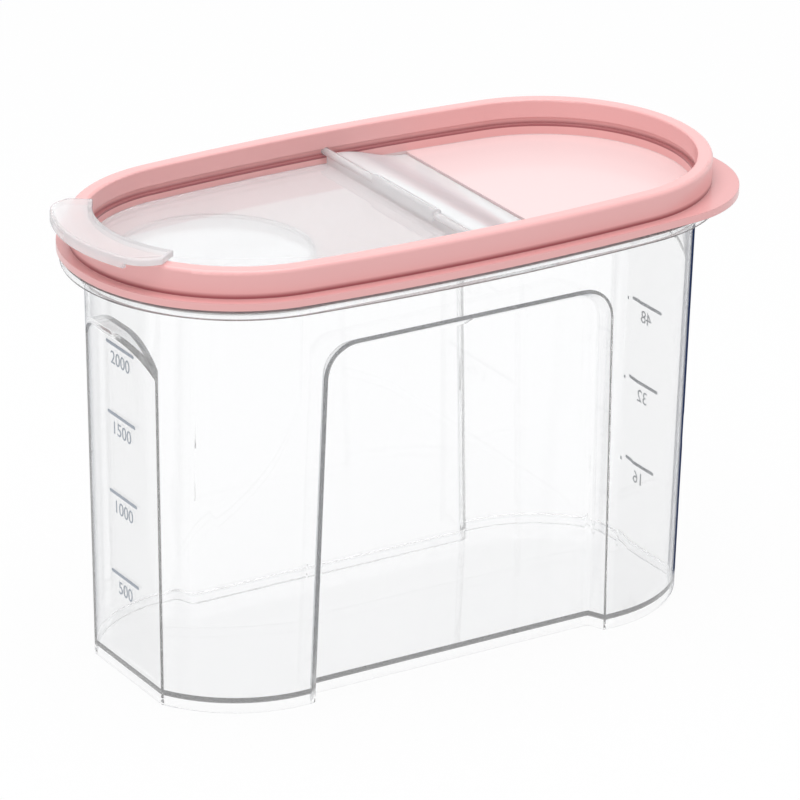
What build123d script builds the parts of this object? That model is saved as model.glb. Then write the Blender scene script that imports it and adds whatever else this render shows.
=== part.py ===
from build123d import *
from math import atan2, cos, degrees, radians, sin, sqrt, tan
import os

# Dry food keeper: a clear tub, a ring lid and a hinged pour flap.
# Millimetres, +Z up. The origin is the middle of the foot of the tub.
# The pour flap is towards -X, the squared lift edge of the lid towards +X.

# Tub: slot plan at the foot, walls that lean outwards going up
foot_length = 219.2
foot_width = 94.9
wall_lean = 0.02
wall = 1.7
floor_top = 5.5
floor_thickness = 2.0
foot_round = 0.8

# Hand grip pressed into each long side
grip_depth = 6.15
grip_half_foot = 55.2
grip_half_top = 52.6
grip_top = 125.6
grip_slant = 26.0
grip_corner = 8.5
grip_inner_round = 2.2

# Flat panel with rounded top corners in each end, for the scale marks
panel_place = 103.6
panel_half = 27.5
panel_top = 128.4
panel_corner = 23.0

# Plan of the lid ring: two bowed long sides and two round ends
ring_length = 235.0
ring_width = 116.3
side_bow = 2.4

# Heights of the ring and its flange, from the seat on the tub's rim
seat_level = 149.2
ring_height = 12.2
flange_thickness = 2.6
flange_reach = 3.6
flange_lift_corner = 42.0
flange_pour_corner = 57.4

# Ring section: top face, two walls with the tub's lip between them
ring_face = 5.3
outer_wall = 1.6
inner_wall = 1.6
crown = 1.8
outer_round = 1.5
inner_round = 0.8
lower_step = 0.7
groove_height = 2.2
groove_depth = 0.7

# Lid floor, lower deck at the pour side, and the opening between them
tray_drop = 12.6
deck_drop = 13.4
sheet = 1.6
skirt_level = 145.8
step_place = 35.8
deck_place = 10.2
ledge_width = 1.5
ledge_height = 1.0

# Pour hole and its collar
hole_place = -69.8
hole_radius = 34.0
collar_wall = 1.4
collar_depth = 3.5

# Mouth of the tub: shoulder, hollow rim and the lip inside the ring
shoulder_gap = 0.5
shoulder_sheet = 1.8
rim_height = 3.6
rim_setback = 0.6
rim_wall = 1.6
lip_gap = 0.4
lip_inner_gap = 0.35
lip_rise = 8.0

# Hinge bar of the flap and its holes in the ring's inner wall
hinge_place = 4.2
hinge_level = 153.8
bar_radius = 1.4
bar_running = 0.08
bar_end_gap = 0.35
ridge_half = 19.6
ridge_thickness = 3.2
ridge_rise = 2.4
ridge_round = 1.2

# Pour flap: plate, web under the bar, plug ring and web at the tab
flap_gap = 0.4
flap_sheet = 1.6
flap_clearance = 0.5
bar_web = 1.4
bar_web_gap = 0.65
plug_clearance = 0.8
plug_wall = 1.4
plug_depth = 3.6
plug_lead = 0.5
tab_web = 1.5

# Thumb tab over the ring's end
tab_gap = 0.4
tab_sheet = 2.4
tab_half_angle = 35.0
tab_full_angle = 24.0
tab_overhang = 6.1
tab_lip = 1.6
tab_lip_wall = 1.5
tab_round = 0.8
tab_corner = 1.2

# Hinge panel: curved strip that closes the opening beside the bar
panel_edge_gap = 3.5
panel_high = 153.0
panel_sheet = 1.1
panel_leg = 1.5
panel_side_gap = 0.3

# Levels that follow from the sizes above
ring_top = seat_level + ring_height
flange_top = seat_level + flange_thickness
tray_top = ring_top - tray_drop
deck_top = ring_top - deck_drop
ledge_top = skirt_level + ledge_height
shoulder_top = skirt_level - shoulder_gap
shoulder_low = shoulder_top - shoulder_sheet
rim_low = seat_level - rim_height
lip_top = seat_level + lip_rise
flap_low = deck_top + flap_gap
groove_low = hinge_level - groove_height / 2
tab_low = ring_top + tab_gap
lean_angle = degrees(atan2(wall_lean, 1.0))

# Plan offsets from the ring's outer face, negative towards the middle
inner_face = -ring_face
lower_face = inner_face - lower_step
channel_inner = inner_face + inner_wall
channel_outer = -outer_wall
lip_outer = channel_outer - lip_gap
lip_inner = channel_inner + lip_inner_gap
rim_out = flange_reach - rim_setback
flap_out = lower_face - flap_clearance

# Circles of the ring's plan
half_length = ring_length / 2
half_width = ring_width / 2
side_radius = (half_length - half_width) ** 2 / (2 * side_bow)
end_radius = half_length - (
    (side_radius - half_width) ** 2 - (side_radius - half_length) ** 2
) / (2 * (side_radius - half_length))
end_place = half_length - end_radius


def corner_points(out, corner):
    """Contact, middle and end point of one corner arc of the lid plan."""
    reach = half_length + out
    side = side_radius + out
    drop = half_width + out - side
    rise = drop + sqrt((side - corner) ** 2 - (reach - corner) ** 2)
    turn = atan2(rise - drop, reach - corner)
    contact = (side * cos(turn), drop + side * sin(turn))
    middle = (reach - corner + corner * cos(turn / 2), rise + corner * sin(turn / 2))
    return contact, middle, (reach, rise)


def lid_plan(level, out, lift_corner=None, pour_corner=None):
    """The ring's plan at a level, grown all round by out."""
    round_end = end_radius + out
    lift = corner_points(out, lift_corner or round_end)
    pour = [(-x, y) for x, y in corner_points(out, pour_corner or round_end)]
    with BuildSketch(Plane.XY.offset(level)) as plan:
        with BuildLine():
            if pour_corner:
                Line((pour[2][0], 0), pour[2])
            ThreePointArc(pour[2] if pour_corner else (pour[2][0], 0), pour[1], pour[0])
            ThreePointArc(pour[0], (0, half_width + out), lift[0])
            ThreePointArc(lift[0], lift[1], lift[2] if lift_corner else (lift[2][0], 0))
            if lift_corner:
                Line(lift[2], (lift[2][0], 0))
            mirror(about=Plane.XZ)
        make_face()
    return plan.sketch


def cut_strip(start, end):
    """Rectangle between two x places, wider than the lid."""
    strip = Rectangle(end - start, 2 * ring_width, mode=Mode.PRIVATE)
    return Pos((start + end) / 2, 0) * strip


def grip_cutter(inset):
    """Cutter of the grip at -Y; inset moves its faces inwards by a wall."""
    slant = radians(grip_slant)
    spread = inset / cos(slant) - inset * tan(slant)
    place = foot_width / 2 - grip_depth - inset
    low = -2 * floor_top
    lean = (grip_half_foot - grip_half_top) / grip_top
    top = grip_top + spread
    face = Plane(origin=(0, -place, 0), x_dir=(1, 0, 0), z_dir=(0, -1, -wall_lean))
    with BuildPart() as cutter:
        with BuildSketch(face):
            with BuildLine():
                Polyline(
                    (-grip_half_foot - spread + lean * low, low),
                    (grip_half_foot + spread - lean * low, low),
                    (grip_half_foot + spread - lean * top, top),
                    (-grip_half_foot - spread + lean * top, top),
                    close=True,
                )
            make_face()
            fillet(vertices().group_by(Axis.Y)[-1], radius=grip_corner + spread)
        extrude(amount=2 * grip_depth + inset, taper=-grip_slant)
        back = faces().sort_by(Axis.Y)[-1]
        fillet(back.edges(), radius=grip_inner_round + inset)
    return cutter.part


def panel_cutter(inset):
    """Cutter of the flat end panel at +X; inset moves it by a wall."""
    face = Plane(
        origin=(panel_place - inset, 0, 0), x_dir=(0, 1, 0), z_dir=(1, 0, -wall_lean)
    )
    width = 2 * (panel_half + inset)
    top = panel_top + inset
    with BuildPart() as cutter:
        with BuildSketch(face):
            with Locations((0, top / 2 - floor_top)):
                Rectangle(width, top + 2 * floor_top)
            fillet(vertices().group_by(Axis.Y)[-1], radius=panel_corner + inset)
        extrude(amount=foot_width / 2)
    return cutter.part


def body_form(low, high, inset):
    """Solid of the tub's body between two levels, inset by a wall."""
    lean = wall_lean * low - inset
    with BuildPart() as form:
        with BuildSketch(Plane.XY.offset(low)):
            SlotOverall(foot_length + 2 * lean, foot_width + 2 * lean)
        extrude(amount=high - low, taper=-lean_angle)
        add(grip_cutter(inset), mode=Mode.SUBTRACT)
        add(mirror(grip_cutter(inset), about=Plane.XZ, mode=Mode.PRIVATE), mode=Mode.SUBTRACT)
        add(panel_cutter(inset), mode=Mode.SUBTRACT)
        add(mirror(panel_cutter(inset), about=Plane.YZ, mode=Mode.PRIVATE), mode=Mode.SUBTRACT)
    return form.part


# Tub: body, shoulder, hollow rim and lip
with BuildPart() as container:
    add(body_form(0, shoulder_top, 0))
    foot_edges = edges().group_by(Axis.Z)[0]
    fillet(foot_edges, radius=foot_round)
    extrude(lid_plan(shoulder_low, lip_outer), amount=lip_top - shoulder_low)
    extrude(lid_plan(rim_low, rim_out), amount=rim_height)
    # Hollow under the rim, between its outer wall and the lip
    with BuildSketch(Plane.XY.offset(rim_low)):
        add(lid_plan(0, rim_out - rim_wall))
        add(lid_plan(0, lip_outer), mode=Mode.SUBTRACT)
    extrude(amount=rim_height - rim_wall, mode=Mode.SUBTRACT)
    extrude(lid_plan(shoulder_top, lip_inner), amount=lip_top - shoulder_top, mode=Mode.SUBTRACT)
    add(body_form(floor_top, shoulder_top, wall), mode=Mode.SUBTRACT)
    add(body_form(0, floor_top - floor_thickness, wall), mode=Mode.SUBTRACT)

# Lid: ring over the lip, flange with the lift edge, tray floor and deck
with BuildPart() as lid:
    extrude(lid_plan(seat_level, 0), amount=ring_height)
    fillet(edges().group_by(Axis.Z)[-1], radius=outer_round)
    extrude(
        lid_plan(seat_level, flange_reach, flange_lift_corner, flange_pour_corner),
        amount=flange_thickness,
    )
    extrude(lid_plan(skirt_level, channel_inner), amount=flange_top - skirt_level)
    # Channel for the tub's lip, open from below
    with BuildSketch(Plane.XY.offset(skirt_level)):
        add(lid_plan(0, channel_outer))
        add(lid_plan(0, channel_inner), mode=Mode.SUBTRACT)
    extrude(amount=ring_top - crown - skirt_level, mode=Mode.SUBTRACT)
    # Recess inside the ring, narrower below the groove
    extrude(lid_plan(groove_low, inner_face), amount=ring_top - groove_low, mode=Mode.SUBTRACT)
    fillet(edges(Select.LAST).group_by(Axis.Z)[-1], radius=inner_round)
    extrude(lid_plan(groove_low, inner_face + groove_depth), amount=groove_height, mode=Mode.SUBTRACT)
    extrude(lid_plan(tray_top, lower_face), amount=groove_low - tray_top, mode=Mode.SUBTRACT)
    # Lower deck at the pour side
    with BuildSketch(Plane.XY.offset(deck_top)):
        add(lid_plan(0, lower_face))
        add(cut_strip(deck_place, ring_length), mode=Mode.SUBTRACT)
    extrude(amount=tray_top - deck_top, mode=Mode.SUBTRACT)
    # Undersides of the deck and of the tray floor
    with BuildSketch(Plane.XY.offset(skirt_level)):
        add(lid_plan(0, lower_face))
        add(cut_strip(deck_place, ring_length), mode=Mode.SUBTRACT)
    extrude(amount=deck_top - sheet - skirt_level, mode=Mode.SUBTRACT)
    with BuildSketch(Plane.XY.offset(skirt_level)):
        add(lid_plan(0, lower_face))
        add(cut_strip(-ring_length, step_place + sheet), mode=Mode.SUBTRACT)
    extrude(amount=tray_top - sheet - skirt_level, mode=Mode.SUBTRACT)
    # Opening between deck and tray floor, with a ledge along the step
    with BuildSketch(Plane.XY.offset(skirt_level)):
        add(lid_plan(0, lower_face))
        add(cut_strip(-ring_length, deck_place), mode=Mode.SUBTRACT)
        add(cut_strip(step_place - ledge_width, ring_length), mode=Mode.SUBTRACT)
    extrude(amount=tray_top - skirt_level, mode=Mode.SUBTRACT)
    with BuildSketch(Plane.XY.offset(ledge_top)):
        add(lid_plan(0, lower_face))
        add(cut_strip(-ring_length, deck_place), mode=Mode.SUBTRACT)
        add(cut_strip(step_place, ring_length), mode=Mode.SUBTRACT)
    extrude(amount=tray_top - ledge_top, mode=Mode.SUBTRACT)
    # Pour hole with a collar hanging from the deck
    with BuildSketch(Plane.XY.offset(deck_top - sheet - collar_depth)):
        with Locations((hole_place, 0)):
            Circle(hole_radius + collar_wall)
    extrude(amount=collar_depth)
    with BuildSketch(Plane.XY.offset(deck_top - sheet - collar_depth)):
        with Locations((hole_place, 0)):
            Circle(hole_radius)
    extrude(amount=collar_depth + sheet, mode=Mode.SUBTRACT)
    # Holes for the hinge bar, through the inner walls only
    with BuildSketch(Plane.XZ):
        with Locations((hinge_place, hinge_level)):
            Circle(bar_radius + bar_running)
    bore_reach = half_width + (channel_inner + channel_outer) / 2
    extrude(amount=bore_reach, both=True, mode=Mode.SUBTRACT)

# Hinge panel: soft curve from the bar down to the step, on a leg and a ledge
edge_place = hinge_place + panel_edge_gap
panel_end = step_place - panel_side_gap
panel_low = ledge_top + panel_sheet
with BuildPart() as hinge_panel:
    with BuildSketch(Plane.XZ):
        with BuildLine():
            Spline(
                (edge_place, panel_high),
                (panel_end, panel_low),
                tangents=((1, 0), (1, 0)),
            )
            Line((panel_end, panel_low), (panel_end, ledge_top))
            Spline(
                (panel_end, ledge_top),
                (edge_place + panel_leg, panel_high - panel_sheet),
                tangents=((-1, 0), (-1, 0)),
            )
            Line((edge_place + panel_leg, panel_high - panel_sheet), (edge_place + panel_leg, deck_top))
            Line((edge_place + panel_leg, deck_top), (edge_place, deck_top))
            Line((edge_place, deck_top), (edge_place, panel_high))
        make_face()
    extrude(amount=ring_width, both=True)
    extrude(
        lid_plan(seat_level - ring_height, lower_face - panel_side_gap),
        amount=3 * ring_height,
        mode=Mode.INTERSECT,
    )


def tab_point(radius, angle):
    """Point at the pour end, by radius and angle from the -X direction."""
    return (-end_place - radius * cos(radians(angle)), radius * sin(radians(angle)))


def tab_sector(level, inner, outer, angle):
    """Ring sector round the pour end between two radii."""
    with BuildSketch(Plane.XY.offset(level)) as sector:
        with BuildLine():
            ThreePointArc(tab_point(outer, -angle), tab_point(outer, 0), tab_point(outer, angle))
            Line(tab_point(outer, angle), tab_point(inner, angle))
            ThreePointArc(tab_point(inner, angle), tab_point(inner, 0), tab_point(inner, -angle))
            Line(tab_point(inner, -angle), tab_point(outer, -angle))
        make_face()
    return sector.sketch


web_outer = end_radius + flap_out
web_inner = web_outer - tab_web
tab_outer = end_radius + tab_overhang
side_corner_x = tab_point(end_radius, tab_half_angle)[0]

# Top plate of the thumb tab, a crescent with rounded upper edges
with BuildPart() as tab_plate:
    with BuildSketch(Plane.XY.offset(tab_low)):
        with BuildLine():
            full = radians(tab_full_angle)
            ThreePointArc(
                tab_point(tab_outer, -tab_full_angle),
                tab_point(tab_outer, 0),
                tab_point(tab_outer, tab_full_angle),
            )
            TangentArc(
                tab_point(tab_outer, tab_full_angle),
                tab_point(end_radius, tab_half_angle),
                tangent=(sin(full), cos(full)),
            )
            Line(tab_point(end_radius, tab_half_angle), tab_point(web_inner, tab_half_angle))
            ThreePointArc(
                tab_point(web_inner, tab_half_angle),
                tab_point(web_inner, 0),
                tab_point(web_inner, -tab_half_angle),
            )
            Line(tab_point(web_inner, -tab_half_angle), tab_point(end_radius, -tab_half_angle))
            TangentArc(
                tab_point(tab_outer, -tab_full_angle),
                tab_point(end_radius, -tab_half_angle),
                tangent=(sin(full), -cos(full)),
            )
        make_face()
        side_corners = vertices().filter_by(lambda v: abs(v.X - side_corner_x) < 0.01)
        fillet(side_corners, radius=tab_corner)
    extrude(amount=tab_sheet)
    fillet(edges().group_by(Axis.Z)[-1], radius=tab_round)

# Pour flap: plate with plug ring, bar with ridge, and the thumb tab
with BuildPart() as pour_flap:
    with BuildSketch(Plane.XY.offset(flap_low)):
        add(lid_plan(0, flap_out))
        add(cut_strip(hinge_place + bar_web / 2, ring_length), mode=Mode.SUBTRACT)
    extrude(amount=flap_sheet)
    with BuildSketch(Plane.XY.offset(flap_low - plug_depth)):
        with Locations((hole_place, 0)):
            Circle(hole_radius - plug_clearance)
            Circle(hole_radius - plug_clearance - plug_wall, mode=Mode.SUBTRACT)
    extrude(amount=plug_depth)
    plug_edges = edges().group_by(Axis.Z)[0].sort_by(Edge.length)[-1]
    chamfer(plug_edges, length=plug_lead)
    # Web and bar along the hinge
    web_half = half_width + lower_face - bar_web_gap - flap_clearance
    with BuildSketch(Plane.XY.offset(flap_low)):
        with Locations((hinge_place, 0)):
            Rectangle(bar_web, 2 * web_half)
    extrude(amount=hinge_level - flap_low)
    with BuildSketch(Plane.XZ):
        with Locations((hinge_place, hinge_level)):
            Circle(bar_radius)
    extrude(amount=half_width + channel_inner - bar_end_gap, both=True)
    # Raised ridge in the middle of the bar
    with BuildSketch(Plane.XZ):
        with BuildLine():
            Polyline(
                (hinge_place - ridge_thickness / 2, hinge_level - bar_radius),
                (hinge_place - ridge_thickness / 2, hinge_level + ridge_rise),
                (hinge_place + ridge_thickness / 2, hinge_level + ridge_rise),
                (hinge_place + ridge_thickness / 2, hinge_level - bar_radius),
                close=True,
            )
        make_face()
        fillet(vertices().group_by(Axis.Y)[-1], radius=ridge_round)
    extrude(amount=ridge_half, both=True)
    # Web up the ring's inner wall, and the tab over the ring
    extrude(tab_sector(flap_low, web_inner, web_outer, tab_half_angle - 2), amount=tab_low - flap_low)
    add(tab_plate.part)
    extrude(
        tab_sector(tab_low - tab_lip, tab_outer - tab_lip_wall, tab_outer, tab_full_angle),
        amount=tab_lip + tab_sheet / 2,
    )

container.part.label = "container"
lid.part.label = "lid"
hinge_panel.part.label = "hinge_panel"
pour_flap.part.label = "pour_flap"

os.makedirs("parts", exist_ok=True)
export_step(container.part, "parts/container.step")
export_step(lid.part, "parts/lid.step")
export_step(hinge_panel.part, "parts/hinge_panel.step")
export_step(pour_flap.part, "parts/pour_flap.step")
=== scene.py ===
"""Dry food keeper: a clear tub, a pink ring lid and a clear pour flap. Metres, +Z up."""

import bpy
import numpy as np
from math import cos, pi, radians, sin
from mathutils import Matrix, Vector


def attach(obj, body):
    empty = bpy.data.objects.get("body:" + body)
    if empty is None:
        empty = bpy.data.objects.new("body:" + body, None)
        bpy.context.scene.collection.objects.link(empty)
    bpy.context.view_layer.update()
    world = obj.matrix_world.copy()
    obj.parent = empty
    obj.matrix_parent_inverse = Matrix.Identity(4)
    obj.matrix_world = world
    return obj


MM = 0.001
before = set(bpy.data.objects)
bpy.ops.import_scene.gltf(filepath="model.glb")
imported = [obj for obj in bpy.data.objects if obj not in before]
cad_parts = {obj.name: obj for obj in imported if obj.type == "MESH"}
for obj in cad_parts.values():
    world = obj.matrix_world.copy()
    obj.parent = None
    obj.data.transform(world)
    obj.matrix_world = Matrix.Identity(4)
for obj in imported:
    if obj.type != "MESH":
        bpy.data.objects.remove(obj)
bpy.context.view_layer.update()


# Shader maths

class Value:
    """A node socket that can be added, multiplied and mixed."""

    def __init__(self, tree, socket):
        self.tree = tree
        self.socket = socket

    def node(self, kind, inputs=(), output=0, **settings):
        """Makes one node, sets it, fills its sockets, and returns one output."""
        made = self.tree.nodes.new(kind)
        for name, value in settings.items():
            setattr(made, name, value)
        for place, value in dict(inputs).items():
            socket = made.inputs[place]
            if isinstance(value, Value):
                self.tree.links.new(value.socket, socket)
            else:
                socket.default_value = value
        return Value(self.tree, made.outputs[output])

    def maths(self, operation, first, second):
        return self.node("ShaderNodeMath", {0: first, 1: second}, operation=operation)

    def __add__(self, other):
        return self.maths("ADD", self, other)

    def __sub__(self, other):
        return self.maths("SUBTRACT", self, other)

    def __rsub__(self, other):
        return self.maths("SUBTRACT", other, self)

    def __mul__(self, other):
        return self.maths("MULTIPLY", self, other)

    def __pow__(self, other):
        return self.maths("POWER", self, other)

    __radd__ = __add__
    __rmul__ = __mul__

    def ramp(self, low, high):
        """0 up to low, 1 from high on, and straight between."""
        inputs = {0: self, 1: low, 2: high, 3: 0.0, 4: 1.0}
        return self.node("ShaderNodeMapRange", inputs)

    def blend(self, low, high):
        """Colour between two colours, by this value from 0 to 1."""
        ends = [end if isinstance(end, Value) else (*end, 1) for end in (low, high)]
        inputs = {0: self, 6: ends[0], 7: ends[1]}
        return self.node("ShaderNodeMix", inputs, output=2, data_type="RGBA")


def linear(red, green, blue):
    """Scene colour of a colour given from 0 to 255 on a screen."""
    shares = [c / 255 for c in (red, green, blue)]
    return tuple(s / 12.92 if s <= 0.04045 else ((s + 0.055) / 1.055) ** 2.4 for s in shares)


def new_material(name, **constants):
    """A material with one principled shader, and a start point for its nodes."""
    material = bpy.data.materials.new(name)
    material.use_nodes = True
    shader = material.node_tree.nodes["Principled BSDF"]
    for socket, value in constants.items():
        shader.inputs[socket.replace("_", " ")].default_value = value
    return material, shader, Value(material.node_tree, None)


def feed(start, value, socket):
    """Links a value to a socket."""
    start.tree.links.new(value.socket, socket)


def lay_over(material, shader, start, share, second):
    """Mixes a second shader over the material's own, by a share from 0 to 1."""
    own = Value(start.tree, shader.outputs[0])
    mixed = start.node("ShaderNodeMixShader", {0: share, 1: own, 2: second})
    feed(start, mixed, material.node_tree.nodes["Material Output"].inputs["Surface"])


def object_place(start, axis):
    """Place along the part's own X, Y or Z, in mm."""
    place = start.node("ShaderNodeTexCoord", output="Object")
    return start.node("ShaderNodeSeparateXYZ", {0: place}, output=axis) * (1 / MM)


def object_noise(start, scale, detail=2.0):
    """Noise in the part's own coordinates, from 0 to 1."""
    place = start.node("ShaderNodeTexCoord", output="Object")
    return start.node("ShaderNodeTexNoise", {"Vector": place, "Scale": scale, "Detail": detail})


def bump(start, height, strength, depth, **under):
    """Normal that follows a height, laid over another normal where one is given."""
    inputs = {"Height": height, "Strength": strength, "Distance": depth, **under}
    return start.node("ShaderNodeBump", inputs)


def add_object(name, data):
    """New object in the scene, with its place in its mesh."""
    made = bpy.data.objects.new(name, data)
    bpy.context.scene.collection.objects.link(made)
    return made


# Clear plastic of the tub, the hinge panel and the flap

CLEAR_INDEX = 1.49
CLEAR_FACE = (0.995, 0.997, 1.0)
# Painted reflection: grey tint where the clear plastic is seen at a grazing angle
TUB_EDGE_PAINTED_REFLECTION = linear(150, 160, 178)
FLAP_EDGE_PAINTED_REFLECTION = linear(150, 153, 160)
EVEN_FACING = 0.5
# Painted reflection: matt grey outline laid over the silhouettes of the clear plastic
PAINTED_GREY_REFLECTION = linear(128, 134, 146)
PAINTED_OUTLINE_POWER = 11.0

# Painted dark blue reflection on the lift end's outline, between these places along X, heights and
# view angles
PAINTED_BLUE_REFLECTION = linear(44, 58, 92)
PAINTED_BLUE_REACH = (90.0, 98.0)
PAINTED_BLUE_HEIGHT = (5.6, 9.0)
PAINTED_BLUE_FACING = (0.70, 0.86)

UNEVEN_SCALE = 60.0
UNEVEN_GLOSS = 0.03
RIPPLE_SCALE = 22.0
RIPPLE_DETAIL = 1.0
RIPPLE_STRENGTH = 0.06
RIPPLE_DEPTH = 0.6 * MM


def clear_plastic(name, painted_edge_reflection, painted_edge_power, roughness, clearness, cover, painted_outline_strength):
    """Clear moulded plastic, with a painted grey reflection where it is seen at a grazing angle
    and a painted dark blue reflection on the lift end's outline.
    """
    material, shader, start = new_material(
        name, Transmission_Weight=clearness, IOR=CLEAR_INDEX, Alpha=cover
    )
    facing = start.node("ShaderNodeLayerWeight", {"Blend": EVEN_FACING}, output="Facing")
    # Painted reflection: base colour turns grey where the surface is seen at a grazing angle
    feed(start, (facing ** painted_edge_power).blend(CLEAR_FACE, painted_edge_reflection), shader.inputs["Base Color"])
    # Painted reflection: dark blue only on the lift end's outline, set by place along X, height
    # and facing
    lift_end = object_place(start, "X").ramp(*PAINTED_BLUE_REACH)
    above_foot = object_place(start, "Z").ramp(*PAINTED_BLUE_HEIGHT)
    # Painted reflection: matt grey outline shader, turning dark blue towards the lift end
    line = start.node(
        "ShaderNodeBsdfPrincipled",
        {
            "Base Color": lift_end.blend(PAINTED_GREY_REFLECTION, PAINTED_BLUE_REFLECTION),
            "Roughness": 1.0,
            "Specular IOR Level": 0.0,
        },
    )
    blue = lift_end * above_foot * facing.ramp(*PAINTED_BLUE_FACING)
    # The painted outline reflection is mixed over the plastic at grazing views
    lay_over(material, shader, start, (facing ** PAINTED_OUTLINE_POWER) * painted_outline_strength + blue, line)
    uneven = object_noise(start, UNEVEN_SCALE)
    feed(start, uneven * UNEVEN_GLOSS + roughness, shader.inputs["Roughness"])
    ripple = object_noise(start, RIPPLE_SCALE, RIPPLE_DETAIL)
    feed(start, bump(start, ripple, RIPPLE_STRENGTH, RIPPLE_DEPTH), shader.inputs["Normal"])
    return material


# Pink plastic of the lid

PINK_INDEX = 1.5
PINK_COAT = 0.35
PINK_COAT_ROUGHNESS = 0.12
PINK = linear(236, 178, 176)
PINK_DEEP = linear(232, 171, 169)
CLOUD_SCALE = 9.0
CLOUD_DETAIL = 3.0

# Painted light: paler below these heights, at the tray floor; painted shade: darker just above the
# flange, under the ring's band
PINK_PAINTED_LIGHT = linear(230, 205, 204)
PAINTED_LIGHT_LEVELS = (148.9, 149.15)
PINK_PAINTED_SHADE = linear(158, 84, 88)
PAINTED_SHADE_FOOT = (151.75, 151.95)
PAINTED_SHADE_TOP = (152.4, 153.8)

PINK_ROUGHNESS = 0.30
GRAIN_SCALE = 700.0
GRAIN_GLOSS = 0.08
GRAIN_STRENGTH = 0.05
GRAIN_DEPTH = 0.2 * MM
EDGE_ROUND = 0.35 * MM
EDGE_SAMPLES = 6


def pink_plastic():
    """Satin pink plastic with a faint moulded grain, with painted light at the tray floor and
    painted shade just under the ring's band.
    """
    material, shader, start = new_material(
        "pink_plastic", IOR=PINK_INDEX, Coat_Weight=PINK_COAT, Coat_Roughness=PINK_COAT_ROUGHNESS
    )
    cloud = object_noise(start, CLOUD_SCALE, CLOUD_DETAIL)
    height = object_place(start, "Z")
    # Painted light: base colour turns paler pink below the tray floor heights
    colour = height.ramp(*PAINTED_LIGHT_LEVELS).blend(PINK_PAINTED_LIGHT, cloud.blend(PINK, PINK_DEEP))
    # Painted shade: darker pink in a band just above the flange, under the ring's band
    painted_crease_shade = height.ramp(*PAINTED_SHADE_FOOT) - height.ramp(*PAINTED_SHADE_TOP)
    feed(start, painted_crease_shade.blend(colour, PINK_PAINTED_SHADE), shader.inputs["Base Color"])
    grain = object_noise(start, GRAIN_SCALE)
    feed(start, grain * GRAIN_GLOSS + PINK_ROUGHNESS, shader.inputs["Roughness"])
    soft = start.node("ShaderNodeBevel", {"Radius": EDGE_ROUND}, samples=EDGE_SAMPLES)
    fine = bump(start, grain, GRAIN_STRENGTH, GRAIN_DEPTH, Normal=soft)
    feed(start, fine, shader.inputs["Normal"])
    return material


# Grey print of the scale marks

PRINT_INDEX = 1.45
PRINT_DARK = linear(158, 165, 174)
PRINT_LIGHT = linear(178, 184, 192)
PRINT_ROUGHNESS = 0.5
FLECK_SCALE = 900.0
FLECK_GLOSS = 0.1


def print_grey():
    """Matt grey with small flecks."""
    material, shader, start = new_material("scale_print", IOR=PRINT_INDEX)
    fleck = object_noise(start, FLECK_SCALE)
    feed(start, fleck.blend(PRINT_DARK, PRINT_LIGHT), shader.inputs["Base Color"])
    feed(start, fleck * FLECK_GLOSS + PRINT_ROUGHNESS, shader.inputs["Roughness"])
    return material


tub_clear = clear_plastic(
    "tub_clear",
    TUB_EDGE_PAINTED_REFLECTION,
    painted_edge_power=7.0,
    roughness=0.01,
    clearness=1.0,
    cover=0.93,
    painted_outline_strength=0.8,
)
flap_clear = clear_plastic(
    "flap_clear",
    FLAP_EDGE_PAINTED_REFLECTION,
    painted_edge_power=6.0,
    roughness=0.07,
    clearness=0.62,
    cover=0.8,
    painted_outline_strength=0.5,
)
panel_clear = clear_plastic(
    "panel_clear",
    FLAP_EDGE_PAINTED_REFLECTION,
    painted_edge_power=6.0,
    roughness=0.05,
    clearness=0.4,
    cover=0.9,
    painted_outline_strength=0.5,
)
print_ink = print_grey()

NODE_MATERIALS = {
    "container": tub_clear,
    "lid": pink_plastic(),
    "hinge_panel": panel_clear,
    "pour_flap": flap_clear,
}
for node, material in NODE_MATERIALS.items():
    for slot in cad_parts[node].material_slots:
        slot.material = material


# Scale marks on the flat end panels

PANEL_FOOT = 103.6
PANEL_LEAN = 0.02
MARK_THICKNESS = 0.12
TICK_LENGTH = 18.8
TICK_HEIGHT = 1.2
TICK_STEPS = 8
DIGIT_HEIGHT = 4.6
DIGIT_DROP = 1.8
DIGIT_SHARE_OF_FONT = 0.7

# Height of each tick in mm, and its number
POUR_END_MARKS = ((37.5, "500"), (67.0, "1000"), (95.8, "1500"), (121.1, "2000"))
LIFT_END_MARKS = ((34.9, "16"), (65.8, "32"), (95.5, "48"))


def panel_matrix(side, height):
    """Place on an end panel: x runs along the panel, y up it, z out of it."""
    out = Vector((side, 0, -PANEL_LEAN)).normalized()
    along = Vector((0, side, 0))
    up = out.cross(along)
    matrix = Matrix((along, up, out)).transposed().to_4x4()
    matrix.translation = Vector((side * (PANEL_FOOT + PANEL_LEAN * height), 0, height)) * MM
    return matrix


def digits_mesh(words):
    """Flat prism of plain digits, which hang below the origin."""
    curve = bpy.data.curves.new("digits", "FONT")
    curve.body = words
    curve.size = DIGIT_HEIGHT * MM / DIGIT_SHARE_OF_FONT
    curve.align_x = "CENTER"
    curve.align_y = "TOP"
    curve.extrude = MARK_THICKNESS * MM / 2
    holder = add_object("digits", curve)
    drawn = holder.evaluated_get(bpy.context.evaluated_depsgraph_get())
    mesh = bpy.data.meshes.new_from_object(drawn)
    bpy.data.objects.remove(holder)
    return mesh


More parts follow.
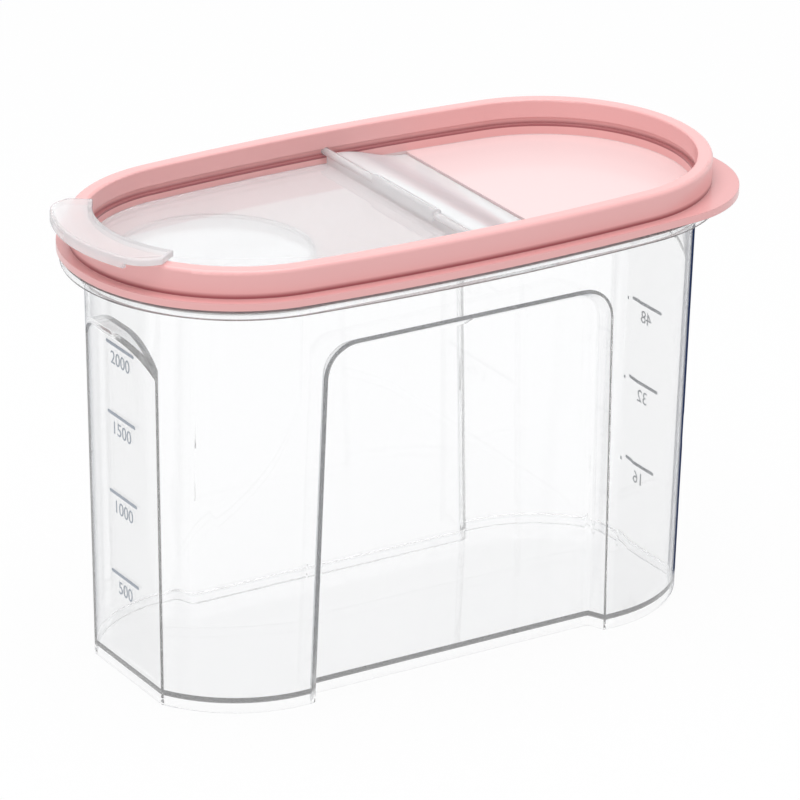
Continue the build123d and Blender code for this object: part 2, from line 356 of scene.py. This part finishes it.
def tick_mesh():
    """Flat prism with half-round ends.

    The outline is a half circle of radius r about (length / 2 - r, 0), from -90 to 90 degrees,
    and another about (r - length / 2, 0), from 90 to 270 degrees.
    """
    radius = TICK_HEIGHT / 2
    half_turn = np.linspace(-pi / 2, pi / 2, TICK_STEPS + 1)
    angle = np.concatenate((half_turn, half_turn + pi))
    centre = np.repeat((1, -1), TICK_STEPS + 1) * (TICK_LENGTH / 2 - radius)
    outline = np.column_stack((centre + radius * np.cos(angle), radius * np.sin(angle)))
    count = len(outline)
    low = np.column_stack((outline, np.full(count, -MARK_THICKNESS / 2)))
    high = np.column_stack((outline, np.full(count, MARK_THICKNESS / 2)))
    here = np.arange(count)
    after = np.roll(here, -1)
    walls = np.column_stack((here, after, count + after, count + here))
    faces = [here[::-1].tolist(), (count + here).tolist(), *walls.tolist()]
    mesh = bpy.data.meshes.new("tick")
    mesh.from_pydata((np.vstack((low, high)) * MM).tolist(), [], faces)
    return mesh


def add_mark(name, side, height, words):
    """Tick line on an end panel with its number below."""
    tick = tick_mesh()
    tick.transform(panel_matrix(side, height))
    digits = digits_mesh(words)
    digits.transform(panel_matrix(side, height - DIGIT_DROP))
    for part, mesh in (("line", tick), ("number", digits)):
        mesh.materials.clear()
        mesh.materials.append(print_ink)
        piece = add_object(f"{name}_{part}", mesh)
        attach(piece, "tub")


for side, end, marks in ((-1, "pour_end", POUR_END_MARKS), (1, "lift_end", LIFT_END_MARKS)):
    for count, (height, words) in enumerate(marks, 1):
        add_mark(f"{end}_mark_{count}", side, height, words)


# Floor, white surroundings and light

FLOOR_GREY = (0.82, 0.82, 0.82, 1)
FLOOR_ROUGHNESS = 0.9
FLOOR_GLOW = 0.95
FLOOR_REACH = 6.0
WORLD_GREY = (0.62, 0.63, 0.65)
WORLD_WHITE = (1, 1, 1)
LIGHT_TARGET = (0, 0, 0.1)


def seen_directly(start):
    """1 for rays from the camera, and for rays through the clear plastic or off a gloss."""
    total = start.node("ShaderNodeLightPath", output="Is Camera Ray")
    for kind in ("Is Transmission Ray", "Is Glossy Ray"):
        total = total + start.node("ShaderNodeLightPath", output=kind)
    return start.maths("MINIMUM", total, 1.0)


def stage_floor():
    """Pale floor that looks white to the camera and keeps a faint shadow."""
    material, shader, start = new_material(
        "floor", Base_Color=FLOOR_GREY, Roughness=FLOOR_ROUGHNESS
    )
    glow = start.node("ShaderNodeEmission", {"Color": (*WORLD_WHITE, 1), "Strength": 1.0})
    lay_over(material, shader, start, seen_directly(start) * FLOOR_GLOW, glow)
    signs = ((-1, -1), (1, -1), (1, 1), (-1, 1))
    mesh = bpy.data.meshes.new("floor")
    mesh.from_pydata([(x * FLOOR_REACH, y * FLOOR_REACH, 0) for x, y in signs], [], [(0, 1, 2, 3)])
    mesh.materials.append(material)
    add_object("floor", mesh)


def world_light():
    """Surroundings that look white and light the object a little less."""
    world = bpy.data.worlds.new("studio")
    bpy.context.scene.world = world
    world.use_nodes = True
    start = Value(world.node_tree, None)
    shade = seen_directly(start).blend(WORLD_GREY, WORLD_WHITE)
    feed(start, shade, world.node_tree.nodes["Background"].inputs["Color"])


def area_light(name, place, size, watts):
    """Square lamp that points at the middle of the object."""
    lamp = bpy.data.lights.new(name, "AREA")
    lamp.size = size
    lamp.energy = watts
    aim = Vector(LIGHT_TARGET) - Vector(place)
    turn = aim.to_track_quat("-Z", "Y").to_matrix().to_4x4()
    add_object(name, lamp).matrix_world = Matrix.Translation(place) @ turn


stage_floor()
world_light()
area_light("top_soft", place=(-0.1, -0.1, 1.3), size=1.2, watts=12.0)
area_light("left_soft", place=(-1.1, -0.7, 0.7), size=0.7, watts=1.6)


# Camera, fitted to the photograph: angles in degrees, aim and rise in mm

CAMERA_TURN = -31.8954
CAMERA_RISE = 22.5542
CAMERA_ROLL = 0.9028
CAMERA_AIM = (-3.70514, -71.2015, 1921.5997)
FIT_SCALE = 0.98
FLOOR_RISE = 5.5
FOCAL_PIXELS = 5427.485
IMAGE_PIXELS = 800
SENSOR = 36.0
CLIP_END = 50.0


def photo_camera():
    """Camera whose place and lens come from a fit to edges in the photograph."""
    turn, rise, roll = (radians(a) for a in (CAMERA_TURN, CAMERA_RISE, CAMERA_ROLL))
    back = Vector((sin(turn) * cos(rise), -cos(turn) * cos(rise), sin(rise)))
    right = Vector((cos(turn), sin(turn), 0))
    up = back.cross(right)
    rolled_right = right * cos(roll) + up * sin(roll)
    rolled_up = up * cos(roll) - right * sin(roll)
    aim_x, aim_y, aim_z = CAMERA_AIM
    centre = back * aim_z - rolled_right * aim_x - rolled_up * aim_y
    lens = bpy.data.cameras.new("photo_camera")
    lens.sensor_width = SENSOR
    lens.lens = FOCAL_PIXELS / IMAGE_PIXELS * SENSOR
    lens.clip_end = CLIP_END
    camera = add_object("photo_camera", lens)
    matrix = Matrix((rolled_right, rolled_up, back)).transposed().to_4x4()
    matrix.translation = (centre * FIT_SCALE + Vector((0, 0, FLOOR_RISE))) * MM
    camera.matrix_world = matrix
    bpy.context.scene.camera = camera


photo_camera()
bpy.context.scene.view_settings.view_transform = "Standard"
